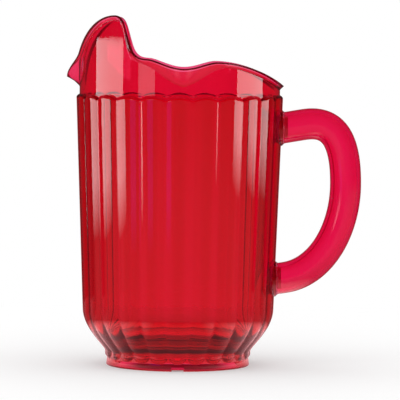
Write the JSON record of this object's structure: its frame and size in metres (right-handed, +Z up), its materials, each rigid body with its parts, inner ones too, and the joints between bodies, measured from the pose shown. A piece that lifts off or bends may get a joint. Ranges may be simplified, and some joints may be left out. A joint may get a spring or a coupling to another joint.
{
  "type": "serving pitcher",
  "caption": "Ribbed see-through red plastic pitcher with a high front spout, side pouring lips and a hollow loop handle, for serving cold drinks.",
  "frame": {"origin": "on the table, under the middle of the whole pitcher from the tip of the spout to the back of the handle", "axes": "+Z up; the spout points to -X and the handle to +X; Y runs from one side lip to the other"},
  "size_m": [0.19, 0.1448, 0.2245],
  "materials": {
    "body_plastic": "clear red moulded plastic, polished, with fine wear",
    "handle_plastic": "clear red moulded plastic, polished",
    "weld_plastic": "clear red weld fillet, polished"
  },
  "bodies": {
    "root": {"pitcher_body": "body_plastic", "handle": "handle_plastic", "upper_weld_bead": "weld_plastic", "lower_weld_bead": "weld_plastic"}
  },
  "joints": []
}
